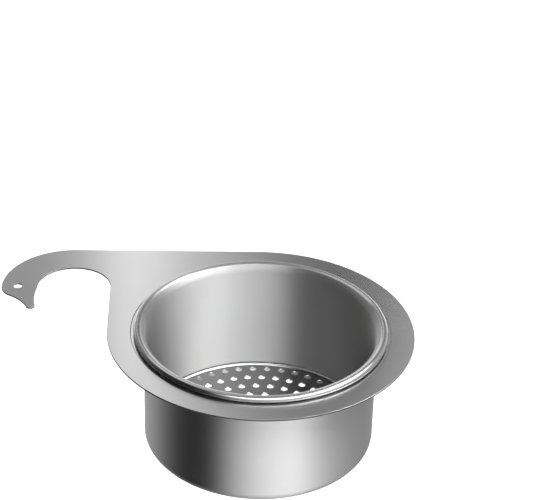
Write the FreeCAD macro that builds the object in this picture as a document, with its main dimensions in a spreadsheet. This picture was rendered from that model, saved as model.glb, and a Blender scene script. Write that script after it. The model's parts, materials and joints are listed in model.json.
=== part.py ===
import FreeCAD, Part
import math
import os

import Sketcher

# Swan-neck sink strainer: a flat hanger plate whose hook goes round the tap, and a
# loose basket that drops through the plate's ring and hangs by its curled rim.
# Millimetres. Origin at the centre of the tap notch, on the plate's underside:
# +Z up, +X from the hook towards the basket, +Y towards the plate's straight back edge.

DIMENSIONS = [
    # hanger plate
    ("plate_thickness", 0.8),
    ("notch_radius", 18.4),
    ("neck_width", 17.8),
    ("ring_outer_radius", 75.0),
    ("ring_hole_radius", 57.8),
    ("seat_radius", 63.5),
    ("seat_drop", 0.4),
    ("seat_wall", 0.5),
    ("head_radius", 9.5),
    ("face_radius", 22.0),
    ("beak_tip_radius", 2.2),
    ("beak_tip_x", -20.4),
    ("beak_tip_y", -17.9),
    ("throat_radius", 46.0),
    ("eye_radius", 2.2),
    ("eye_x", -28.1),
    ("eye_y", 0.5),
    # basket wall
    ("wall_outer_radius", 57.0),
    ("wall_sheet", 0.5),
    ("flare_radius", 4.1),
    ("curl_radius", 1.6),
    ("curl_sweep", 290.0),
    ("curl_lift", 0.05),
    ("basket_depth", 61.3),
    ("foot_bend_radius", 5.5),
    ("foot_lip_radius", 50.5),
    # perforated base
    ("base_sheet", 0.6),
    ("base_gap", 0.02),
    ("base_depth", 56.2),
    ("base_lip", 1.1),
    ("base_bend_radius", 1.2),
    ("punch_radius", 1.75),
    ("outer_punch_ring", 51.0),
    ("punch_ring_step", 7.75),
]

# holes in each ring of the base, from the rim inwards, and the angle of its first hole
PUNCH_RINGS = [(43, 0.0), (37, 8.8), (30, 6.9), (22, 0.0), (16, 11.0), (10, 18.0), (4, 20.0)]

doc = FreeCAD.newDocument("SwanNeckStrainer")
sheet = doc.addObject("Spreadsheet::Sheet", "Dimensions")
for row, (alias, value) in enumerate(DIMENSIONS, start=1):
    sheet.set(f"A{row}", alias)
    sheet.set(f"B{row}", str(value))
    sheet.setAlias(f"B{row}", alias)
doc.recompute()


def size(alias):
    """Value of one cell of the sheet."""
    return float(sheet.get(alias))


def cell(alias):
    """Expression that points at one cell of the sheet."""
    return f"Dimensions.{alias}"


RING_X = f"({cell('notch_radius')} + {cell('ring_outer_radius')})"
RING_Y = f"({cell('notch_radius')} + {cell('neck_width')} - {cell('ring_outer_radius')})"
NECK_RADIUS = f"({cell('notch_radius')} + {cell('neck_width')})"


# ---------------------------------------------------------------- helpers

def new_body(name):
    body = doc.addObject("PartDesign::Body", name)
    body.Label = name
    return body


def origin_item(body, role):
    return next(item for item in body.Origin.OriginFeatures if item.Role == role)


def new_sketch(body, name, plane="XY_Plane", height=None):
    sketch = body.newObject("Sketcher::SketchObject", name)
    sketch.AttachmentSupport = [(origin_item(body, plane), "")]
    sketch.MapMode = "FlatFace"
    if height:
        sketch.setExpression("AttachmentOffset.Base.z", height)
    return sketch


def vector(x, y):
    return FreeCAD.Vector(x, y, 0)


def add_line(sketch, start, end):
    return sketch.addGeometry(Part.LineSegment(start, end))


def add_arc(sketch, centre, radius, first, last):
    """Arc drawn counter-clockwise from angle first to angle last, in degrees."""
    circle = Part.Circle(centre, FreeCAD.Vector(0, 0, 1), radius)
    arc = Part.ArcOfCircle(circle, math.radians(first), math.radians(last))
    return sketch.addGeometry(arc)


def add_circle(sketch, centre, radius):
    return sketch.addGeometry(Part.Circle(centre, FreeCAD.Vector(0, 0, 1), radius))


def constrain(sketch, *terms):
    return sketch.addConstraint(Sketcher.Constraint(*terms))


def bind(sketch, expression, *terms):
    """Dimensional constraint whose value is an expression on the sheet."""
    index = constrain(sketch, *terms)
    sketch.setExpression(f"Constraints[{index}]", expression)
    return index


def solved(sketch):
    doc.recompute()
    if sketch.solve() != 0:
        raise RuntimeError(f"sketch {sketch.Name} does not solve")


def heading(centre, point):
    """Angle in degrees of the direction from centre to point."""
    return math.degrees(math.atan2(point.y - centre.y, point.x - centre.x))


def towards(centre, point, distance):
    """The point that lies at distance from centre, on the way to point."""
    return centre + (point - centre).normalize() * distance


def crossing(first, first_radius, second, second_radius, side):
    """Where two circles cross, on the left (+1) or right (-1) of first to second."""
    across = second - first
    gap = across.Length
    along = (first_radius ** 2 - second_radius ** 2 + gap ** 2) / (2 * gap)
    off = math.sqrt(first_radius ** 2 - along ** 2)
    ahead = across.normalize()
    left = vector(-ahead.y, ahead.x)
    return first + ahead * along + left * (off * side)


def pad(body, sketch, name, length, downwards=False):
    feature = body.newObject("PartDesign::Pad", name)
    feature.Profile = sketch
    feature.Reversed = downwards
    feature.setExpression("Length", length)
    return feature


def pocket(body, sketch, name, length=None):
    """Cut downwards from the sketch, by length or through everything."""
    feature = body.newObject("PartDesign::Pocket", name)
    feature.Profile = sketch
    if length:
        feature.setExpression("Length", length)
    else:
        feature.Type = "ThroughAll"
        feature.Midplane = True
    return feature


def revolve(body, sketch, name):
    """Full turn about the sketch's vertical axis."""
    feature = body.newObject("PartDesign::Revolution", name)
    feature.Profile = sketch
    feature.ReferenceAxis = (sketch, ["V_Axis"])
    feature.Angle = 360
    return feature


def hang_on_ring_axis(body):
    """Place a body that is drawn about its own axis at the centre of the ring."""
    body.setExpression("Placement.Base.x", RING_X)
    body.setExpression("Placement.Base.y", RING_Y)


# ---------------------------------------------------------------- hanger plate

def plate_outline(body):
    """Outline of the blank: ring, straight back edge, swan's neck, head and notch."""
    notch = size("notch_radius")
    neck = notch + size("neck_width")
    ring = size("ring_outer_radius")
    head = size("head_radius")
    face = size("face_radius")
    tip = size("beak_tip_radius")
    throat = size("throat_radius")
    centre = vector(0, 0)
    ring_centre = vector(notch + ring, neck - ring)
    head_centre = vector(head - neck, 0)
    tip_centre = vector(size("beak_tip_x"), size("beak_tip_y"))
    throat_top = vector(-notch, 0)
    face_centre = crossing(head_centre, head + face, tip_centre, tip + face, -1)
    throat_centre = crossing(tip_centre, tip + throat, throat_top, throat, -1)
    cheek = towards(head_centre, face_centre, head)
    beak = towards(tip_centre, face_centre, tip)
    chin = towards(tip_centre, throat_centre, tip)

    sketch = new_sketch(body, "PlateOutline")
    back_edge = add_line(sketch, vector(ring_centre.x, neck), vector(0, neck))
    neck_arc = add_arc(sketch, centre, neck, 90, 180)
    head_arc = add_arc(sketch, head_centre, head, 180, heading(head_centre, cheek) + 360)
    face_arc = add_arc(sketch, face_centre, face,
                       heading(face_centre, beak), heading(face_centre, cheek))
    tip_arc = add_arc(sketch, tip_centre, tip,
                      heading(tip_centre, beak) + 360, heading(tip_centre, chin) + 360)
    throat_arc = add_arc(sketch, throat_centre, throat,
                         heading(throat_centre, throat_top), heading(throat_centre, chin) + 360)
    notch_arc = add_arc(sketch, centre, notch, 0, 180)
    side_edge = add_line(sketch, vector(notch, 0), vector(notch, ring_centre.y))
    ring_arc = add_arc(sketch, ring_centre, ring, 180, 450)

    start, end, middle = 1, 2, 3
    tangent_ends = [
        (back_edge, end, neck_arc, start),
        (neck_arc, end, head_arc, start),
        (head_arc, end, face_arc, end),
        (face_arc, start, tip_arc, start),
        (tip_arc, end, throat_arc, end),
        (notch_arc, start, side_edge, start),
        (side_edge, end, ring_arc, start),
        (ring_arc, end, back_edge, start),
    ]
    for joint in tangent_ends:
        constrain(sketch, "Tangent", *joint)
    constrain(sketch, "Coincident", throat_arc, start, notch_arc, end)
    for arc in (neck_arc, notch_arc):
        constrain(sketch, "Coincident", arc, middle, -1, 1)
    constrain(sketch, "Horizontal", back_edge)
    constrain(sketch, "Vertical", side_edge)
    constrain(sketch, "PointOnObject", head_arc, middle, -1)
    constrain(sketch, "PointOnObject", notch_arc, end, -1)
    radii = [
        (neck_arc, NECK_RADIUS),
        (head_arc, cell("head_radius")),
        (face_arc, cell("face_radius")),
        (tip_arc, cell("beak_tip_radius")),
        (throat_arc, cell("throat_radius")),
        (notch_arc, cell("notch_radius")),
        (ring_arc, cell("ring_outer_radius")),
    ]
    for arc, expression in radii:
        radius = sketch.Geometry[arc].Radius
        bind(sketch, expression, "Radius", arc, radius)
    bind(sketch, cell("beak_tip_x"), "DistanceX", -1, 1, tip_arc, middle, tip_centre.x)
    bind(sketch, cell("beak_tip_y"), "DistanceY", -1, 1, tip_arc, middle, tip_centre.y)
    solved(sketch)
    return sketch


def round_sketch(body, name, centre, centre_terms, radii, height=None):
    """Circles about one centre, each with its radius bound to an expression."""
    sketch = new_sketch(body, name, height=height)
    x_term, y_term = centre_terms
    for value, expression in radii:
        circle = add_circle(sketch, centre, value)
        bind(sketch, expression, "Radius", circle, value)
        bind(sketch, x_term, "DistanceX", -1, 1, circle, 3, centre.x)
        bind(sketch, y_term, "DistanceY", -1, 1, circle, 3, centre.y)
    solved(sketch)
    return sketch


def make_hanger_plate():
    """Stamped sheet: the blank, its pressed seat, the ring's hole and the swan's eye."""
    body = new_body("hanger_plate")
    notch = size("notch_radius")
    ring = size("ring_outer_radius")
    ring_centre = vector(notch + ring, notch + size("neck_width") - ring)
    ring_terms = (RING_X, RING_Y)
    thickness = cell("plate_thickness")
    drop = cell("seat_drop")
    seat = (size("seat_radius"), cell("seat_radius"))
    hole = (size("ring_hole_radius"), cell("ring_hole_radius"))
    skirt_terms = f"{cell('seat_radius')} + {cell('seat_wall')}"
    skirt = (size("seat_radius") + size("seat_wall"), skirt_terms)

    pad(body, plate_outline(body), "Blank", thickness)
    under_seat = round_sketch(body, "SeatUnderside", ring_centre, ring_terms, [skirt])
    pad(body, under_seat, "SeatPressed", drop, downwards=True)
    over_seat = round_sketch(body, "SeatTop", ring_centre, ring_terms, [seat], thickness)
    pocket(body, over_seat, "Seat", drop)
    opening = round_sketch(body, "RingHole", ring_centre, ring_terms, [hole], thickness)
    pocket(body, opening, "RingOpening")
    eye_centre = vector(size("eye_x"), size("eye_y"))
    eye_terms = (cell("eye_x"), cell("eye_y"))
    eye = (size("eye_radius"), cell("eye_radius"))
    eye_hole = round_sketch(body, "EyeHole", eye_centre, eye_terms, [eye], thickness)
    pocket(body, eye_hole, "Eye")
    return body


# ---------------------------------------------------------------- basket

def make_basket_wall():
    """Sleeve that flares into a hollow outward curl at the rim, with an in-turned foot."""
    body = new_body("basket_wall")
    outer = size("wall_outer_radius")
    gauge = size("wall_sheet")
    flare = size("flare_radius")
    curl = size("curl_radius")
    bend = size("foot_bend_radius")
    lip = size("foot_lip_radius")
    foot = -size("basket_depth")
    sweep_end = 180 - size("curl_sweep")
    curl_height = size("plate_thickness") - size("seat_drop") + size("curl_lift") + curl
    curl_centre = vector(outer - gauge + flare, curl_height)
    flare_centre = vector(curl_centre.x, curl_height + curl - flare)
    bend_centre = vector(outer - bend, foot + bend)

    def on_curl(radius):
        angle = math.radians(sweep_end)
        return curl_centre + vector(math.cos(angle), math.sin(angle)) * radius

    sketch = new_sketch(body, "WallProfile", "XZ_Plane")
    outside = add_line(sketch, vector(outer, bend_centre.y), vector(outer, flare_centre.y))
    flare_inside = add_arc(sketch, flare_centre, flare - gauge, 90, 180)
    curl_inside = add_arc(sketch, curl_centre, curl - gauge, sweep_end, 90)
    curl_edge = add_line(sketch, on_curl(curl - gauge), on_curl(curl))
    curl_outside = add_arc(sketch, curl_centre, curl, sweep_end, 90)
    flare_outside = add_arc(sketch, flare_centre, flare, 90, 180)
    inside = add_line(sketch, vector(outer - gauge, flare_centre.y),
                      vector(outer - gauge, bend_centre.y))
    bend_inside = add_arc(sketch, bend_centre, bend - gauge, -90, 0)
    lip_top = add_line(sketch, vector(bend_centre.x, foot + gauge), vector(lip, foot + gauge))
    lip_edge = add_line(sketch, vector(lip, foot + gauge), vector(lip, foot))
    lip_under = add_line(sketch, vector(lip, foot), vector(bend_centre.x, foot))
    bend_outside = add_arc(sketch, bend_centre, bend, -90, 0)

    start, end, middle = 1, 2, 3
    tangent_ends = [
        (outside, end, flare_inside, end),
        (flare_inside, start, curl_inside, end),
        (curl_outside, end, flare_outside, start),
        (flare_outside, end, inside, start),
        (inside, end, bend_inside, end),
        (bend_inside, start, lip_top, start),
        (lip_under, end, bend_outside, start),
        (bend_outside, end, outside, start),
    ]
    for joint in tangent_ends:
        constrain(sketch, "Tangent", *joint)
    corners = [
        (curl_inside, start, curl_edge, start),
        (curl_edge, end, curl_outside, start),
        (lip_top, end, lip_edge, start),
        (lip_edge, end, lip_under, start),
        (curl_inside, middle, curl_outside, middle),
        (flare_inside, middle, flare_outside, middle),
        (bend_inside, middle, bend_outside, middle),
    ]
    for corner in corners:
        constrain(sketch, "Coincident", *corner)
    for upright in (outside, lip_edge):
        constrain(sketch, "Vertical", upright)
    for level in (lip_top, lip_under):
        constrain(sketch, "Horizontal", level)
    constrain(sketch, "Vertical", curl_outside, middle, flare_outside, middle)
    constrain(sketch, "PointOnObject", curl_outside, middle, curl_edge)
    wall_radius = cell("wall_outer_radius")
    gauge_cell = cell("wall_sheet")
    flare_cell = cell("flare_radius")
    curl_cell = cell("curl_radius")
    height_terms = (f"{cell('plate_thickness')} - {cell('seat_drop')}"
                    f" + {cell('curl_lift')} + {curl_cell}")
    bind(sketch, wall_radius, "DistanceX", -1, 1, outside, start, outer)
    bind(sketch, flare_cell, "Radius", flare_outside, flare)
    bind(sketch, f"{flare_cell} - {gauge_cell}", "Radius", flare_inside, flare - gauge)
    bind(sketch, curl_cell, "Radius", curl_outside, curl)
    bind(sketch, height_terms, "DistanceY", -1, 1, curl_inside, middle, curl_height)
    bind(sketch, cell("foot_bend_radius"), "Radius", bend_outside, bend)
    bind(sketch, f"{cell('foot_bend_radius')} - {gauge_cell}", "Radius", bend_inside, bend - gauge)
    bind(sketch, f"-{cell('basket_depth')}", "DistanceY", -1, 1, lip_under, start, foot)
    bind(sketch, cell("foot_lip_radius"), "DistanceX", -1, 1, lip_under, start, lip)
    bind(sketch, f"180 - {cell('curl_sweep')}", "Angle", curl_edge, math.radians(sweep_end))
    solved(sketch)
    revolve(body, sketch, "Sleeve")
    hang_on_ring_axis(body)
    return body


def make_perforated_base():
    """Shallow pan with a low upturned rim, punched in concentric rings."""
    body = new_body("perforated_base")
    gauge = size("base_sheet")
    bend = size("base_bend_radius")
    rim = size("wall_outer_radius") - size("wall_sheet") - size("base_gap")
    top = -size("base_depth")
    under = top - gauge
    lip_top = top + size("base_lip")
    bend_centre = vector(rim - bend, under + bend)

    sketch = new_sketch(body, "PanProfile", "XZ_Plane")
    outline = [
        add_line(sketch, vector(0, under), vector(bend_centre.x, under)),
        add_arc(sketch, bend_centre, bend, -90, 0),
        add_line(sketch, vector(rim, bend_centre.y), vector(rim, lip_top)),
        add_line(sketch, vector(rim, lip_top), vector(rim - gauge, lip_top)),
        add_line(sketch, vector(rim - gauge, lip_top), vector(rim - gauge, bend_centre.y)),
        add_arc(sketch, bend_centre, bend - gauge, -90, 0),
        add_line(sketch, vector(bend_centre.x, top), vector(0, top)),
        add_line(sketch, vector(0, top), vector(0, under)),
    ]
    below, outer_bend, side, lip, inner_side, inner_bend, above, axis = outline
    start, end, middle = 1, 2, 3
    for joint in [(below, end, outer_bend, start), (outer_bend, end, side, start),
                  (inner_side, end, inner_bend, end), (inner_bend, start, above, start)]:
        constrain(sketch, "Tangent", *joint)
    for corner in [(side, end, lip, start), (lip, end, inner_side, start),
                   (above, end, axis, start), (axis, end, below, start),
                   (outer_bend, middle, inner_bend, middle)]:
        constrain(sketch, "Coincident", *corner)
    for level in (below, lip):
        constrain(sketch, "Horizontal", level)
    for upright in (side, inner_side):
        constrain(sketch, "Vertical", upright)
    constrain(sketch, "PointOnObject", axis, start, -2)
    constrain(sketch, "PointOnObject", axis, end, -2)
    bind(sketch, f"{cell('wall_outer_radius')} - {cell('wall_sheet')} - {cell('base_gap')}",
         "DistanceX", -1, 1, side, start, rim)
    bind(sketch, f"-{cell('base_depth')}", "DistanceY", -1, 1, axis, start, top)
    bind(sketch, f"-{cell('base_depth')} - {cell('base_sheet')}",
         "DistanceY", -1, 1, axis, end, under)
    bind(sketch, f"-{cell('base_depth')} + {cell('base_lip')}",
         "DistanceY", -1, 1, lip, start, lip_top)
    bind(sketch, cell("base_bend_radius"), "Radius", outer_bend, bend)
    bind(sketch, f"{cell('base_bend_radius')} - {cell('base_sheet')}",
         "Radius", inner_bend, bend - gauge)
    solved(sketch)
    revolve(body, sketch, "Pan")

    radius_cell = cell("punch_radius")
    for index, (count, first_angle) in enumerate(PUNCH_RINGS):
        ring = size("outer_punch_ring") - index * size("punch_ring_step")
        ring_terms = f"({cell('outer_punch_ring')} - {index} * {cell('punch_ring_step')})"
        angle = math.radians(first_angle)
        centre = vector(ring * math.cos(angle), ring * math.sin(angle))
        terms = (f"{ring_terms} * cos({first_angle} deg)", f"{ring_terms} * sin({first_angle} deg)")
        punch = round_sketch(body, f"Punch{index}", centre, terms,
                             [(size("punch_radius"), radius_cell)], f"-{cell('base_depth')}")
        holes = pocket(body, punch, f"PunchedHole{index}", f"2 * {cell('base_sheet')}")
        pattern = body.newObject("PartDesign::PolarPattern", f"PunchedRing{index}")
        pattern.Originals = [holes]
        pattern.Axis = (origin_item(body, "Z_Axis"), [""])
        pattern.Angle = 360
        pattern.Occurrences = count
        body.Tip = pattern
    hang_on_ring_axis(body)
    return body


# ---------------------------------------------------------------- build, check, export

bodies = [make_hanger_plate(), make_basket_wall(), make_perforated_base()]
doc.recompute()

for item in doc.Objects:
    if {"Invalid", "Error"} & set(item.State):
        raise RuntimeError(f"{item.Name} failed: {item.State}")

os.makedirs("parts", exist_ok=True)
for body in bodies:
    shape = body.Shape
    if shape.isNull() or not shape.isValid() or len(shape.Solids) != 1:
        raise RuntimeError(f"{body.Label} is not one valid solid")
    box = shape.optimalBoundingBox(False)
    print(f"{body.Label}: volume {shape.Volume:.0f} mm3,"
          f" x {box.XMin:.1f} to {box.XMax:.1f}, y {box.YMin:.1f} to {box.YMax:.1f},"
          f" z {box.ZMin:.2f} to {box.ZMax:.2f}, faces {len(shape.Faces)}")
    shape.exportStep(f"parts/{body.Label}.step")
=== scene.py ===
import json
import math

import bmesh
import bpy
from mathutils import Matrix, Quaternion, Vector


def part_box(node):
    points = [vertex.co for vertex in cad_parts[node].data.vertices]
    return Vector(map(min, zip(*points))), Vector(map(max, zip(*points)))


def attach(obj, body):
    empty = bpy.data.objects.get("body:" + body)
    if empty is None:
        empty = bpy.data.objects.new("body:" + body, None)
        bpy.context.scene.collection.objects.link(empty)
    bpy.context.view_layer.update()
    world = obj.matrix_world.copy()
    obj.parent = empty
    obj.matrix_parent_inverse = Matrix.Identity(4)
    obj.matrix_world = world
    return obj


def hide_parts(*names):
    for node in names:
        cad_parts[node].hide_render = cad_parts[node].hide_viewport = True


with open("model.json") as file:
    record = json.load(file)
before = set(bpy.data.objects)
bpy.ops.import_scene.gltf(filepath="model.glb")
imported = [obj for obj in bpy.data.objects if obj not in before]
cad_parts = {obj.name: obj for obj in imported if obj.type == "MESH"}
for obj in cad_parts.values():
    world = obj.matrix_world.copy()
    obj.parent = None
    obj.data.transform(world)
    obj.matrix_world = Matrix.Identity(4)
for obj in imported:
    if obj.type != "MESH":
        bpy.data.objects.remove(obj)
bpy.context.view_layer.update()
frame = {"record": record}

# Hanging sink strainer: a blanked ring plate with a swan's neck, and a loose basket made
# of a drawn, turned wall and a punched base. Lengths are in millimetres in the plate's own
# frame, and become metres where a mesh, light or camera is made.

MM = 0.001


# ---------------------------------------------------------------- sizes read from the frame

def node_box(node):
    """Lowest and highest corner of a node, in millimetres."""
    low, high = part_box(node)
    return low / MM, high / MM


def mount(name):
    """One of the part's mounts, from the record."""
    return next(m for m in frame["record"]["mounts"] if m["name"] == name)


PLATE_LOW, PLATE_HIGH = node_box("hanger_plate")
WALL_LOW, WALL_HIGH = node_box("basket_wall")
BASE_LOW, BASE_HIGH = node_box("perforated_base")

NOTCH_RADIUS = mount("tap_hook")["dims"]["r_mm"]
SHEET = mount("tap_hook")["dims"]["length_mm"]
NECK_RADIUS = -PLATE_LOW.x
AXIS = Vector(((WALL_LOW.x + WALL_HIGH.x) / 2, (PLATE_LOW.y + PLATE_HIGH.y) / 2, 0))
RING_RADIUS = (PLATE_HIGH.y - PLATE_LOW.y) / 2
SEAT_DROP = -PLATE_LOW.z
EYE_RADIUS = mount("eye_hole")["dims"]["r_mm"]
EYE = Vector(mount("eye_hole")["pos_m"]) / MM
RIM_RADIUS = (WALL_HIGH.x - WALL_LOW.x) / 2
PAN_RADIUS = (BASE_HIGH.x - BASE_LOW.x) / 2

# the stamped plate: its hole and pressed seat, then the swan's head
HOLE_RADIUS = 57.8
SEAT_RADIUS = 63.5
SEAT_WALL = 0.5
SEAT_TOP_BEND = 0.28
SEAT_TOE_BEND = 0.12
SEAT_HEEL_BEND = 0.3
HEAD_RADIUS = 9.5
FACE_RADIUS = 22.0
BEAK_TIP = Vector((-20.4, -17.9, 0))
BEAK_TIP_RADIUS = 2.2
THROAT_RADIUS = 46.0

# the basket's wall: its flare and curl at the rim, and its in-turned foot
WALL_SHEET = 0.5
FLARE_RADIUS = 4.1
CURL_RADIUS = 1.6
CURL_SWEEP = 290
FOOT_BEND = 5.5
FOOT_LIP_RADIUS = 50.5

# the basket's base: a pan, and the count and first angle of the holes in each of its rings
PAN_SHEET = 0.6
PAN_BEND = 1.2
PUNCH_RADIUS = 1.75
OUTER_PUNCH_RING = 51.0
PUNCH_RING_STEP = 7.75
PUNCH_RINGS = [(43, 0.0), (37, 8.8), (30, 6.9), (22, 0.0), (16, 11.0), (10, 18.0), (4, 20.0)]

# how far a blanked or punched edge rolls over on the tool's side, and its burr on the other
BLANK_ROLL = 0.16
BLANK_BURR = 0.06
PUNCH_ROLL = 0.12
PUNCH_BURR = 0.05

# flats round each circle of the meshes
RING_SIDES = 240
WALL_SIDES = 288
EYE_SIDES = 40
PUNCH_SIDES = 24


# ---------------------------------------------------------------- outlines and meshes

def polar(centre, radius, degrees):
    """Point at a radius and an angle from a centre, in the plane."""
    angle = math.radians(degrees)
    return Vector((centre.x + radius * math.cos(angle), centre.y + radius * math.sin(angle), 0))


def arc(centre, radius, first, last, step=2.0):
    """Points along an arc, without its last one. A turn with last below first runs clockwise."""
    count = max(2, math.ceil(abs(last - first) / step))
    return [polar(centre, radius, first + (last - first) * k / count) for k in range(count)]


def run(start, end, spacing=3.0):
    """Points along a straight run, without its last one."""
    count = max(1, round((end - start).length / spacing))
    return [start.lerp(end, k / count) for k in range(count)]


def heading(centre, point):
    """Angle of a point seen from a centre, in degrees."""
    return math.degrees(math.atan2(point.y - centre.y, point.x - centre.x))


def crossing(first, first_radius, second, second_radius, side):
    """Where two circles cross, on the left (+1) or right (-1) of first to second."""
    across = second - first
    along = (first_radius ** 2 - second_radius ** 2 + across.length_squared) / (2 * across.length)
    off = math.sqrt(first_radius ** 2 - along ** 2)
    ahead = across.normalized()
    return first + ahead * along + Vector((-ahead.y, ahead.x, 0)) * (off * side)


def plate_outline():
    """The blank's outline, anticlockwise from the back edge's right end."""
    notch_centre = Vector((0, 0, 0))
    head_centre = Vector((HEAD_RADIUS - NECK_RADIUS, 0, 0))
    throat_top = Vector((-NOTCH_RADIUS, 0, 0))
    face_centre = crossing(head_centre, HEAD_RADIUS + FACE_RADIUS,
                           BEAK_TIP, BEAK_TIP_RADIUS + FACE_RADIUS, -1)
    throat_centre = crossing(BEAK_TIP, BEAK_TIP_RADIUS + THROAT_RADIUS,
                             throat_top, THROAT_RADIUS, -1)
    cheek = heading(head_centre, face_centre) % 360
    brow = heading(face_centre, head_centre)
    beak_side = heading(face_centre, BEAK_TIP)
    beak_start = heading(BEAK_TIP, face_centre) % 360
    beak_end = heading(BEAK_TIP, throat_centre) % 360 + 360
    chin = heading(throat_centre, BEAK_TIP) % 360
    throat_end = heading(throat_centre, throat_top) % 360
    return (
        run(Vector((AXIS.x, NECK_RADIUS, 0)), Vector((0, NECK_RADIUS, 0)))
        + arc(notch_centre, NECK_RADIUS, 90, 180)
        + arc(head_centre, HEAD_RADIUS, 180, cheek, 4)
        + arc(face_centre, FACE_RADIUS, brow, beak_side)
        + arc(BEAK_TIP, BEAK_TIP_RADIUS, beak_start, beak_end, 12)
        + arc(throat_centre, THROAT_RADIUS, chin, throat_end, 1)
        + arc(notch_centre, NOTCH_RADIUS, 180, 0, 3)
        + run(Vector((NOTCH_RADIUS, 0, 0)), Vector((NOTCH_RADIUS, AXIS.y, 0)))
        + arc(AXIS, RING_RADIUS, 180, 450, 1.5)
    )


def bend_points(centre, radius, first, last, steps=6):
    """Radius and height round a bend, both ends in."""
    ends = [polar(centre, radius, first + (last - first) * k / steps) for k in range(steps + 1)]
    return [(p.x, p.y) for p in ends]


def circle(centre, radius, count):
    return [polar(centre, radius, 360 * k / count) for k in range(count)]


def inset(points, distance):
    """The outline moved to its left by distance, corner by corner."""
    moved = []
    for k, point in enumerate(points):
        ahead = (points[(k + 1) % len(points)] - points[k - 1]).normalized()
        moved.append(point + Vector((-ahead.y, ahead.x, 0)) * distance)
    return moved


def add_loop(bm, points, height):
    """Vertices at a height over a closed row of points, in metres."""
    return [bm.verts.new(Vector((p.x, p.y, height)) * MM) for p in points]


def skin(bm, first, second):
    """A band of faces between two loops with the same number of points."""
    count = len(first)
    for k in range(count):
        after = (k + 1) % count
        bm.faces.new((first[k], first[after], second[after], second[k]))


def skin_all(bm, loops):
    """Bands of faces from each loop to the next."""
    for first, second in zip(loops, loops[1:]):
        skin(bm, first, second)


def fill(bm, loops):
    """Flat faces inside the first loop and outside the others."""
    edges = []
    for loop in loops:
        for k, vert in enumerate(loop):
            edges.append(bm.edges.get((vert, loop[k - 1])) or bm.edges.new((vert, loop[k - 1])))
    bmesh.ops.triangle_fill(bm, use_beauty=True, use_dissolve=False, edges=edges)


def new_piece(name, bm, body, node, material):
    """Turn a finished bmesh into the piece that stands for a node and rides on its body."""
    bmesh.ops.recalc_face_normals(bm, faces=bm.faces)
    mesh = bpy.data.meshes.new(name)
    bm.to_mesh(mesh)
    bm.free()
    mesh.shade_smooth()
    mesh.materials.append(material)
    piece = bpy.data.objects.new(name, mesh)
    bpy.context.scene.collection.objects.link(piece)
    weighted = piece.modifiers.new("flat_faces_stay_flat", "WEIGHTED_NORMAL")
    weighted.mode = "FACE_AREA"
    weighted.weight = 100
    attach(piece, body)
    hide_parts(node)


def edge_profile(low, high, roll, burr):
    """Inset and height down a cut edge: rolled over at the top, barely eased below."""
    steps = [(1 - math.sin(a), 1 - math.cos(a)) for a in (0, 0.4, 0.8, 1.2, math.pi / 2)]
    top = [(roll * u, high - roll * v) for u, v in steps]
    bottom = [(burr * u, low + burr * v) for u, v in reversed(steps)]
    return top + bottom


# ---------------------------------------------------------------- pieces

def make_plate(material):
    """Flat blank with the eye's hole, and a seat pressed down round the ring's hole."""
    bm = bmesh.new()
    outline = plate_outline()
    edge = edge_profile(0, SHEET, BLANK_ROLL, BLANK_BURR)
    rim = [add_loop(bm, inset(outline, d), z) for d, z in edge]
    eye = [add_loop(bm, circle(EYE, EYE_RADIUS + d, EYE_SIDES), z) for d, z in edge]

    seat_top = SHEET - SEAT_DROP
    top_centre = Vector((SEAT_RADIUS + SEAT_TOP_BEND, SHEET - SEAT_TOP_BEND, 0))
    toe_centre = Vector((SEAT_RADIUS - SEAT_TOE_BEND, seat_top + SEAT_TOE_BEND, 0))
    under_radius = SEAT_RADIUS + SEAT_WALL
    heel_centre = Vector((under_radius - SEAT_HEEL_BEND, SEAT_HEEL_BEND - SEAT_DROP, 0))
    hole_edge = edge_profile(-SEAT_DROP, seat_top, BLANK_ROLL, BLANK_BURR)
    profile = (
        bend_points(top_centre, SEAT_TOP_BEND, 90, 180)
        + bend_points(toe_centre, SEAT_TOE_BEND, 0, -90)
        + [(HOLE_RADIUS + d, z) for d, z in hole_edge]
        + bend_points(heel_centre, SEAT_HEEL_BEND, -90, 0)
        + [(under_radius, 0)]
    )
    seat = [add_loop(bm, circle(AXIS, r, RING_SIDES), z) for r, z in profile]

    skin_all(bm, rim)
    skin_all(bm, eye)
    skin_all(bm, seat)
    fill(bm, [rim[0], eye[0], seat[0]])
    fill(bm, [rim[-1], eye[-1], seat[-1]])
    new_piece("hanger_plate_sheet", bm, "hanger", "hanger_plate", material)


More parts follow.
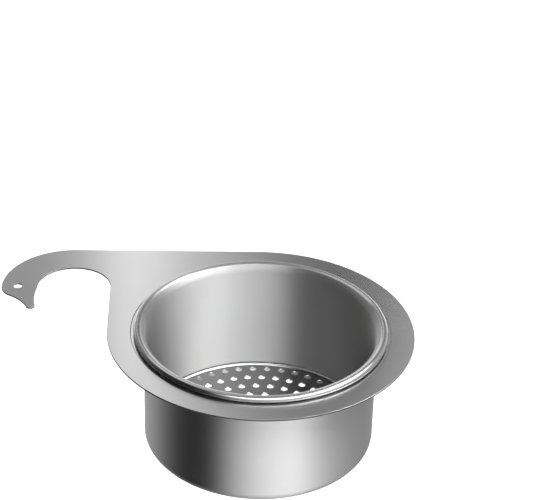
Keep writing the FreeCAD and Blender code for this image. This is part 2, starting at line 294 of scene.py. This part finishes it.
def make_wall(material):
    """Sleeve that flares into a hollow outward curl, with an in-turned foot."""
    bm = bmesh.new()
    outer = RIM_RADIUS - CURL_RADIUS - FLARE_RADIUS + WALL_SHEET
    flare_centre = Vector((RIM_RADIUS - CURL_RADIUS, WALL_HIGH.z - FLARE_RADIUS, 0))
    curl_centre = Vector((RIM_RADIUS - CURL_RADIUS, WALL_HIGH.z - CURL_RADIUS, 0))
    foot = WALL_LOW.z
    bend_centre = Vector((outer - FOOT_BEND, foot + FOOT_BEND, 0))
    curl_end = 180 - CURL_SWEEP
    ease = WALL_SHEET / 5
    profile = (
        bend_points(flare_centre, FLARE_RADIUS, 180, 90, 20)
        + bend_points(curl_centre, CURL_RADIUS, 90, curl_end, 30)[1:]
        + bend_points(curl_centre, CURL_RADIUS - WALL_SHEET, curl_end, 90, 24)
        + bend_points(flare_centre, FLARE_RADIUS - WALL_SHEET, 90, 180, 16)[1:]
        + bend_points(bend_centre, FOOT_BEND, 0, -90, 12)
        + [(FOOT_LIP_RADIUS + ease, foot), (FOOT_LIP_RADIUS, foot + ease)]
        + [(FOOT_LIP_RADIUS, foot + WALL_SHEET - ease), (FOOT_LIP_RADIUS + ease, foot + WALL_SHEET)]
        + bend_points(bend_centre, FOOT_BEND - WALL_SHEET, -90, 0, 12)
    )
    loops = [add_loop(bm, circle(AXIS, r, WALL_SIDES), z) for r, z in profile]
    skin_all(bm, loops + [loops[0]])
    new_piece("basket_wall_sheet", bm, "basket", "basket_wall", material)


def make_base(material):
    """Shallow pan with a low upturned rim, punched in rings."""
    bm = bmesh.new()
    under = BASE_LOW.z
    top = under + PAN_SHEET
    ease = PAN_SHEET / 5
    lip = BASE_HIGH.z
    bend_centre = Vector((PAN_RADIUS - PAN_BEND, under + PAN_BEND, 0))
    profile = (
        bend_points(bend_centre, PAN_BEND, -90, 0, 6)
        + [(PAN_RADIUS, lip - ease), (PAN_RADIUS - ease, lip)]
        + [(PAN_RADIUS - PAN_SHEET + ease, lip), (PAN_RADIUS - PAN_SHEET, lip - ease)]
        + bend_points(bend_centre, PAN_BEND - PAN_SHEET, 0, -90, 5)
    )
    rim = [add_loop(bm, circle(AXIS, r, RING_SIDES), z) for r, z in profile]
    skin_all(bm, rim)
    tops = [rim[-1]]
    bottoms = [rim[0]]
    edge = edge_profile(under, top, PUNCH_ROLL, PUNCH_BURR)
    for index, (count, first) in enumerate(PUNCH_RINGS):
        ring = OUTER_PUNCH_RING - index * PUNCH_RING_STEP
        for k in range(count):
            centre = polar(AXIS, ring, first + 360 * k / count)
            hole = [add_loop(bm, circle(centre, PUNCH_RADIUS + d, PUNCH_SIDES), z)
                    for d, z in edge]
            skin_all(bm, hole)
            tops.append(hole[0])
            bottoms.append(hole[-1])
    fill(bm, tops)
    fill(bm, bottoms)
    new_piece("perforated_base_sheet", bm, "basket", "perforated_base", material)


# ---------------------------------------------------------------- materials

# the finishes' patterns. Real scratches, turning marks and rolled grain are under 0.1 mm
# wide, too fine to show, so all three are drawn as coarse as they need to be seen
BRUSH_STROKE = 30
SCRATCH = 0.45
SCRATCH_DEPTH = 0.03
SHEEN_CLOUD = 30
TURNING_MARK = 0.6
MARKS_PER_RADIAN = 2.0
ROLLED_GRAIN = 0.8
GRAIN_DEPTH = 0.04

# where the rim's fine polish begins and is full, measured in from its crest, and where the
# painted shade under its curl begins and is full, measured down from the curl's centre
POLISH_START = 2.4
POLISH_FULL = 1.6
CURL_SHADE_START = 0.3
CURL_SHADE_FULL = 0.8


def per(size):
    """Texture scale that makes one feature of a pattern this many millimetres."""
    return 1 / (size * MM)


def linear(hex_colour):
    """Linear RGBA of an sRGB colour such as "c8c7c5"."""
    channels = [int(hex_colour[k:k + 2], 16) / 255 for k in (0, 2, 4)]
    return [c / 12.92 if c <= 0.04045 else ((c + 0.055) / 1.055) ** 2.4 for c in channels] + [1]


def add_node(tree, kind, settings=None, inputs=None):
    """Add a node, set its properties, and set or link its inputs."""
    new = tree.nodes.new(kind)
    for name, value in (settings or {}).items():
        setattr(new, name, value)
    for name, value in (inputs or {}).items():
        if isinstance(value, bpy.types.NodeSocket):
            tree.links.new(value, new.inputs[name])
        else:
            new.inputs[name].default_value = value
    return new


def new_material(name):
    """An empty node material and its tree."""
    material = bpy.data.materials.new(name)
    material.use_nodes = True
    material.node_tree.nodes.clear()
    return material, material.node_tree


def satin_plate_stainless():
    """Cold-rolled stainless sheet, belt-brushed to a satin: broad soft bands of light and
    dark over the flat faces, faint straight scratches along the sheet, and a thin darker
    line along every cut edge."""
    material, tree = new_material("satin_brushed_stainless_sheet")
    place = add_node(tree, "ShaderNodeTexCoord").outputs["Object"]
    # long straight scratches, shallow enough to show only as a light grain
    grain = add_node(tree, "ShaderNodeMapping", {}, {
        "Vector": place,
        "Scale": (per(BRUSH_STROKE), per(SCRATCH), per(SCRATCH))}).outputs["Vector"]
    scratches = add_node(tree, "ShaderNodeTexNoise", {}, {
        "Vector": grain, "Scale": 1.0, "Detail": 3.0}).outputs["Fac"]
    bump = add_node(tree, "ShaderNodeBump", {}, {
        "Height": scratches, "Strength": 0.12, "Distance": SCRATCH_DEPTH * MM}).outputs["Normal"]
    # patches a little duller than others, so that the sheen isn't one even gradient
    cloud = add_node(tree, "ShaderNodeTexNoise", {}, {
        "Vector": place, "Scale": per(SHEEN_CLOUD), "Detail": 2.0}).outputs["Fac"]
    satin = add_node(tree, "ShaderNodeMapRange", {}, {
        "Value": cloud, "To Min": 0.16, "To Max": 0.20}).outputs["Result"]
    # cut edges are torn, not brushed: darker and rougher than the faces
    facing = add_node(tree, "ShaderNodeSeparateXYZ", {}, {
        "Vector": add_node(tree, "ShaderNodeTexCoord").outputs["Normal"]}).outputs["Z"]
    level = add_node(tree, "ShaderNodeMath", {"operation": "ABSOLUTE"}, {
        0: facing}).outputs["Value"]
    face = add_node(tree, "ShaderNodeMapRange", {}, {
        "Value": level, "From Min": 0.5, "From Max": 0.9}).outputs["Result"]
    colour = add_node(tree, "ShaderNodeMix", {"data_type": "RGBA"}, {
        "Factor": face, 6: linear("4e4e4e"), 7: linear("b8b8b8")}).outputs[2]
    rough = add_node(tree, "ShaderNodeMix", {"data_type": "FLOAT"}, {
        "Factor": face, 2: 0.5, 3: satin}).outputs[0]
    # the finish spreads each reflection from the front of the plate to its back
    across = add_node(tree, "ShaderNodeCombineXYZ", {}, {"X": 0.0, "Y": 1.0, "Z": 0.0})
    shader = add_node(tree, "ShaderNodeBsdfPrincipled", {}, {
        "Base Color": colour, "Metallic": 1.0, "Roughness": rough,
        "Anisotropic": 0.92, "Tangent": across.outputs["Vector"], "Normal": bump})
    add_node(tree, "ShaderNodeOutputMaterial", {}, {"Surface": shader.outputs["BSDF"]})
    return material


def spun_stainless():
    """Drawn stainless sleeve, polished while it turns: upright soft bands of light and dark
    round the wall, with faint rings, and a rim that is polished finer than the rest."""
    material, tree = new_material("turned_polished_stainless")
    place = add_node(tree, "ShaderNodeTexCoord").outputs["Object"]
    centred = add_node(tree, "ShaderNodeVectorMath", {"operation": "SUBTRACT"}, {
        0: place, 1: AXIS * MM}).outputs["Vector"]
    split = add_node(tree, "ShaderNodeSeparateXYZ", {}, {"Vector": centred})
    height = split.outputs["Z"]
    outward = add_node(tree, "ShaderNodeVectorMath", {"operation": "MULTIPLY"}, {
        0: centred, 1: (1, 1, 0)}).outputs["Vector"]
    radius = add_node(tree, "ShaderNodeVectorMath", {"operation": "LENGTH"}, {
        0: outward}).outputs["Value"]

    # turning marks: long arcs round the axis, one under the other
    angle = add_node(tree, "ShaderNodeMath", {"operation": "ARCTAN2"}, {
        0: split.outputs["Y"], 1: split.outputs["X"]}).outputs["Value"]
    around = add_node(tree, "ShaderNodeMath", {"operation": "MULTIPLY"}, {
        0: angle, 1: MARKS_PER_RADIAN}).outputs["Value"]
    up = add_node(tree, "ShaderNodeMath", {"operation": "MULTIPLY"}, {
        0: height, 1: per(TURNING_MARK)}).outputs["Value"]
    rings = add_node(tree, "ShaderNodeCombineXYZ", {}, {"X": around, "Y": up}).outputs["Vector"]
    marks = add_node(tree, "ShaderNodeTexNoise", {}, {
        "Vector": rings, "Scale": 1.0, "Detail": 3.0}).outputs["Fac"]
    bump = add_node(tree, "ShaderNodeBump", {}, {
        "Height": marks, "Strength": 0.1, "Distance": SCRATCH_DEPTH * MM}).outputs["Normal"]
    wear = add_node(tree, "ShaderNodeMapRange", {}, {
        "Value": marks, "To Min": 0.46, "To Max": 0.54}).outputs["Result"]

    # the rim, from just inside its crest outwards, is polished finest, then the outside
    crest = RIM_RADIUS - CURL_RADIUS
    on_rim = add_node(tree, "ShaderNodeMapRange", {}, {
        "Value": radius, "From Min": (crest - POLISH_START) * MM,
        "From Max": (crest - POLISH_FULL) * MM}).outputs["Result"]
    rim_finish = add_node(tree, "ShaderNodeMapRange", {}, {
        "Value": on_rim, "To Min": 1.0, "To Max": 0.36}).outputs["Result"]
    outwards = add_node(tree, "ShaderNodeVectorMath", {"operation": "DOT_PRODUCT"}, {
        0: outward, 1: add_node(tree, "ShaderNodeTexCoord").outputs["Normal"]}).outputs["Value"]
    faces_in = add_node(tree, "ShaderNodeMath", {"operation": "LESS_THAN"}, {
        0: outwards, 1: 0.0}).outputs["Value"]
    side_finish = add_node(tree, "ShaderNodeMapRange", {}, {
        "Value": faces_in, "To Min": 0.66, "To Max": 1.0}).outputs["Result"]
    finish = add_node(tree, "ShaderNodeMath", {"operation": "MINIMUM"}, {
        0: side_finish, 1: rim_finish}).outputs["Value"]
    rough = add_node(tree, "ShaderNodeMath", {"operation": "MULTIPLY"}, {
        0: wear, 1: finish}).outputs["Value"]

    # the lower half of the curl is painted dark, a painted shade that draws a dark line between
    # rim and plate; inside the foot, below the base, the metal is painted bright, as painted light
    curl_centre = WALL_HIGH.z - CURL_RADIUS
    low_on_curl = add_node(tree, "ShaderNodeMapRange", {}, {
        "Value": height, "From Min": (curl_centre - CURL_SHADE_START) * MM,
        "From Max": (curl_centre - CURL_SHADE_FULL) * MM}).outputs["Result"]
    painted_shade_under_curl = add_node(tree, "ShaderNodeMath", {"operation": "MULTIPLY"}, {
        0: on_rim, 1: low_on_curl}).outputs["Value"]
    in_foot = add_node(tree, "ShaderNodeMath", {"operation": "LESS_THAN"}, {
        0: height, 1: BASE_LOW.z * MM}).outputs["Value"]
    painted_light_in_foot = add_node(tree, "ShaderNodeMath", {"operation": "MULTIPLY"}, {
        0: faces_in, 1: in_foot}).outputs["Value"]
    polished = add_node(tree, "ShaderNodeMix", {"data_type": "RGBA"}, {
        "Factor": on_rim, 6: linear("b2b2b2"), 7: linear("acacac")}).outputs[2]
    # painted shade: the lower half of the curl, over the plate, is coloured dark grey
    painted_shade_colour = add_node(tree, "ShaderNodeMix", {"data_type": "RGBA"}, {
        "Factor": painted_shade_under_curl, 6: polished, 7: linear("5c5c5c")}).outputs[2]
    # painted light: the inner face of the foot, below the base, is coloured near white
    colour = add_node(tree, "ShaderNodeMix", {"data_type": "RGBA"}, {
        "Factor": painted_light_in_foot, 6: painted_shade_colour, 7: linear("f4f4f4")}).outputs[2]

    # the rings stretch each reflection up and down the wall
    tangent = add_node(tree, "ShaderNodeTangent", {"direction_type": "RADIAL", "axis": "Z"})
    shader = add_node(tree, "ShaderNodeBsdfPrincipled", {}, {
        "Base Color": colour, "Metallic": 1.0, "Roughness": rough,
        "Anisotropic": 1.0, "Anisotropic Rotation": 0.25,
        "Tangent": tangent.outputs["Tangent"], "Normal": bump})
    add_node(tree, "ShaderNodeOutputMaterial", {}, {"Surface": shader.outputs["BSDF"]})
    return material


def punched_stainless():
    """Punched stainless pan with the rolled sheet's own smooth face: clear reflections,
    barely broken up by a fine grain, and an underside painted brighter than the top, as painted
    light."""
    material, tree = new_material("rolled_stainless_punched")
    place = add_node(tree, "ShaderNodeTexCoord").outputs["Object"]
    grain = add_node(tree, "ShaderNodeTexNoise", {}, {
        "Vector": place, "Scale": per(ROLLED_GRAIN), "Detail": 4.0,
        "Roughness": 0.6}).outputs["Fac"]
    rough = add_node(tree, "ShaderNodeMapRange", {}, {
        "Value": grain, "To Min": 0.10, "To Max": 0.16}).outputs["Result"]
    bump = add_node(tree, "ShaderNodeBump", {}, {
        "Height": grain, "Strength": 0.2, "Distance": GRAIN_DEPTH * MM}).outputs["Normal"]
    facing = add_node(tree, "ShaderNodeSeparateXYZ", {}, {
        "Vector": add_node(tree, "ShaderNodeTexCoord").outputs["Normal"]}).outputs["Z"]
    # painted light: the underside is coloured near white and the top a darker grey
    painted_lit_underside_mix = add_node(tree, "ShaderNodeMapRange", {}, {
        "Value": facing, "From Min": -0.5, "From Max": 0.5}).outputs["Result"]
    colour = add_node(tree, "ShaderNodeMix", {"data_type": "RGBA"}, {
        "Factor": painted_lit_underside_mix, 6: linear("f0f0f0"), 7: linear("a4a4a4")}).outputs[2]
    shader = add_node(tree, "ShaderNodeBsdfPrincipled", {}, {
        "Base Color": colour, "Metallic": 1.0, "Roughness": rough, "Normal": bump})
    add_node(tree, "ShaderNodeOutputMaterial", {}, {"Surface": shader.outputs["BSDF"]})
    return material


# ---------------------------------------------------------------- studio

STUDIO_RADIUS = 750
PIT_DEPTH = 1100
STRIP_TOP = 240
BANNER_START = 650
CEILING_HEIGHT = 1300
FLOOR_DEPTH = 420
FLOOR_SIZE = 6000
SOFTBOX_HEIGHT = 1300
SOFTBOX_SIZE = (1100, 900)
SOFTBOX_BEHIND = 150
SOFTBOX_WATTS = 26
PAPER_SIDES = 96
# light level round the studio's paper, by degrees from the front, positive to the right:
# the lower wall, which the outside of the basket mirrors; a strip over it, which the rim
# mirrors; the upper wall, which flat sheet mirrors; and a banner along its top, which
# lights the inside of the basket
LOW_LEVELS = [
    (-180, 0.54), (-150, 0.71), (-140, 0.71), (-125, 0.68), (-112, 0.50), (-98, 0.24),
    (-85, 0.07), (-60, 0.03), (-50, 0.07), (-40, 0.26), (-20, 1.04), (0, 1.78), (18, 2.16),
    (34, 2.12), (50, 1.36), (66, 0.76), (82, 0.55), (100, 0.49), (130, 0.41), (180, 0.54),
]
STRIP_LEVELS = [
    (-180, 1.80), (-150, 2.30), (-140, 1.20), (-130, 0.35), (-105, 0.12), (-90, 0.04),
    (-60, 0.03), (-40, 0.06), (-20, 0.20), (0, 0.45), (14, 0.65), (25, 0.85), (34, 1.00),
    (50, 1.00), (66, 0.95), (100, 0.80), (140, 1.20), (150, 2.30), (180, 1.80),
]
HIGH_LEVELS = [
    (-180, 0.65), (-176.7, 1.05), (-173.5, 1.65), (-171.5, 1.40), (-169.5, 0.75),
    (-166, 0.35), (-145, 0.50), (-130, 0.35), (-105, 0.12), (-90, 0.04), (-60, 0.03),
    (-45, 0.08), (-38, 0.25), (-20, 0.75), (0, 1.05), (18, 1.20), (34, 1.25), (50, 1.25),
    (66, 1.20), (82, 1.10), (100, 1.00), (130, 0.85), (160, 0.60), (167.5, 0.46),
    (170.5, 0.16), (173.5, 0.06), (177, 0.28), (180, 0.65),
]
BANNER_LEVELS = [
    (-180, 0.60), (-160, 1.60), (-145, 1.20), (-130, 0.40), (-110, 0.10), (-90, 0.02),
    (-58, 0.02), (-48, 0.35), (-38, 2.00), (-20, 6.80), (0, 8.80), (18, 10.4), (34, 12.0),
    (50, 14.5), (66, 15.0), (82, 13.5), (100, 11.0), (130, 6.00), (150, 1.40), (180, 0.60),
]
CEILING_LEVEL = 0.5
PIT_LEVEL = 0.45


def grey(level):
    """RGBA of a neutral light level, which may be over 1."""
    return (level, level, level, 1)


def glow_material(name, level):
    """A material that only gives light, with its tree and the node that glows."""
    material, tree = new_material(name)
    glow = add_node(tree, "ShaderNodeEmission", {}, {"Color": grey(1.0), "Strength": level})
    add_node(tree, "ShaderNodeOutputMaterial", {}, {"Surface": glow.outputs["Emission"]})
    return material, tree, glow


def stage_piece(name, bm, material, place):
    """A piece of the studio that the metal mirrors and the camera doesn't see."""
    mesh = bpy.data.meshes.new(name)
    bm.to_mesh(mesh)
    bm.free()
    mesh.materials.append(material)
    piece = bpy.data.objects.new(name, mesh)
    piece.location = Vector(place) * MM
    piece.visible_camera = False
    piece.visible_diffuse = False
    piece.visible_shadow = False
    bpy.context.scene.collection.objects.link(piece)
    return piece


def paper_ring(name, bottom, top, levels):
    """Paper all round, between two circles given by radius and height, lit more on some
    sides than on others."""
    material, tree, glow = glow_material(name, 1.0)
    place = add_node(tree, "ShaderNodeTexCoord").outputs["Object"]
    split = add_node(tree, "ShaderNodeSeparateXYZ", {}, {"Vector": place})
    flipped = add_node(tree, "ShaderNodeMath", {"operation": "MULTIPLY"}, {
        0: split.outputs["Y"], 1: -1.0}).outputs["Value"]
    angle = add_node(tree, "ShaderNodeMath", {"operation": "ARCTAN2"}, {
        0: split.outputs["X"], 1: flipped}).outputs["Value"]
    share = add_node(tree, "ShaderNodeMapRange", {}, {
        "Value": angle, "From Min": -math.pi, "From Max": math.pi}).outputs["Result"]
    ramp = add_node(tree, "ShaderNodeValToRGB", {}, {"Fac": share})
    stops = ramp.color_ramp.elements
    stops.remove(stops[0])
    stops[0].position = 0.0
    stops[0].color = grey(levels[0][1])
    for degrees, level in levels[1:]:
        stops.new(degrees / 360 + 0.5).color = grey(level)
    tree.links.new(ramp.outputs["Color"], glow.inputs["Color"])
    bm = bmesh.new()
    centre = Vector((0, 0, 0))
    skin(bm, *[add_loop(bm, circle(centre, radius, PAPER_SIDES), z)
               for radius, z in (bottom, top)])
    stage_piece(name, bm, material, (AXIS.x, AXIS.y, 0))


def paper_disc(name, radius, height, level):
    """An evenly lit round sheet of paper over or under the strainer."""
    material = glow_material(name, level)[0]
    bm = bmesh.new()
    bm.faces.new(add_loop(bm, circle(Vector((0, 0, 0)), radius, PAPER_SIDES), 0))
    stage_piece(name, bm, material, (AXIS.x, AXIS.y, height))


def studio_floor():
    """Matt white floor, well below the hanging strainer; seen from below it isn't there."""
    material, tree = new_material("matt_white_floor")
    geometry = add_node(tree, "ShaderNodeNewGeometry")
    paint = add_node(tree, "ShaderNodeBsdfDiffuse", {}, {"Color": linear("f4f4f3")})
    clear = add_node(tree, "ShaderNodeBsdfTransparent")
    both = add_node(tree, "ShaderNodeMixShader", {}, {
        0: geometry.outputs["Backfacing"], 1: paint.outputs["BSDF"], 2: clear.outputs["BSDF"]})
    add_node(tree, "ShaderNodeOutputMaterial", {}, {"Surface": both.outputs["Shader"]})
    bm = bmesh.new()
    half = FLOOR_SIZE / 2
    corners = [(-half, -half), (half, -half), (half, half), (-half, half)]
    bm.faces.new([bm.verts.new(Vector((x, y, 0)) * MM) for x, y in corners])
    floor = stage_piece("studio_floor", bm, material, (AXIS.x, AXIS.y, -FLOOR_DEPTH))
    floor.visible_camera = True
    floor.visible_diffuse = True
    floor.visible_glossy = False


def softbox():
    """A large soft light straight over the strainer, which lights the floor."""
    light = bpy.data.lights.new("overhead_softbox", "AREA")
    light.shape = "RECTANGLE"
    light.size, light.size_y = [side * MM for side in SOFTBOX_SIZE]
    light.energy = SOFTBOX_WATTS
    lamp = bpy.data.objects.new("overhead_softbox", light)
    lamp.location = Vector((AXIS.x, AXIS.y + SOFTBOX_BEHIND, SOFTBOX_HEIGHT)) * MM
    lamp.visible_glossy = False
    bpy.context.scene.collection.objects.link(lamp)


def plain_world():
    """Even white surroundings, which the metal doesn't mirror."""
    world = bpy.data.worlds.new("plain_studio")
    world.use_nodes = True
    background = world.node_tree.nodes["Background"]
    background.inputs["Color"].default_value = grey(1.0)
    background.inputs["Strength"].default_value = 1.0
    world.cycles_visibility.glossy = False
    bpy.context.scene.world = world


def studio():
    studio_floor()
    pit = (STUDIO_RADIUS, -PIT_DEPTH)
    middle = (STUDIO_RADIUS, 0)
    strip = (STUDIO_RADIUS, STRIP_TOP)
    banner = (STUDIO_RADIUS, BANNER_START)
    ceiling = (STUDIO_RADIUS, CEILING_HEIGHT)
    paper_ring("lower_paper_wall", pit, middle, LOW_LEVELS)
    paper_ring("paper_strip", middle, strip, STRIP_LEVELS)
    paper_ring("upper_paper_wall", strip, banner, HIGH_LEVELS)
    paper_ring("paper_banner", banner, ceiling, BANNER_LEVELS)
    paper_disc("paper_ceiling", *ceiling, CEILING_LEVEL)
    paper_disc("paper_pit", *pit, PIT_LEVEL)
    softbox()
    plain_world()


# ---------------------------------------------------------------- camera

CAMERA_PLACE = Vector((64.8, -858.1, 533.1))
CAMERA_AIM = Vector((102.2, 38.1, 0.8))
CAMERA_ROLL = 1.82
CAMERA_LENS = 131.05
SENSOR_WIDTH = 36


def camera():
    data = bpy.data.cameras.new("camera")
    data.lens = CAMERA_LENS
    data.sensor_width = SENSOR_WIDTH
    seat = bpy.data.objects.new("camera", data)
    seat.location = CAMERA_PLACE * MM
    look = (CAMERA_AIM - CAMERA_PLACE).to_track_quat("-Z", "Y")
    seat.rotation_mode = "QUATERNION"
    seat.rotation_quaternion = look @ Quaternion((0, 0, 1), math.radians(CAMERA_ROLL))
    bpy.context.scene.collection.objects.link(seat)
    bpy.context.scene.camera = seat


camera()
studio()
bpy.context.scene.view_settings.view_transform = "Standard"

make_plate(satin_plate_stainless())
make_wall(spun_stainless())
make_base(punched_stainless())
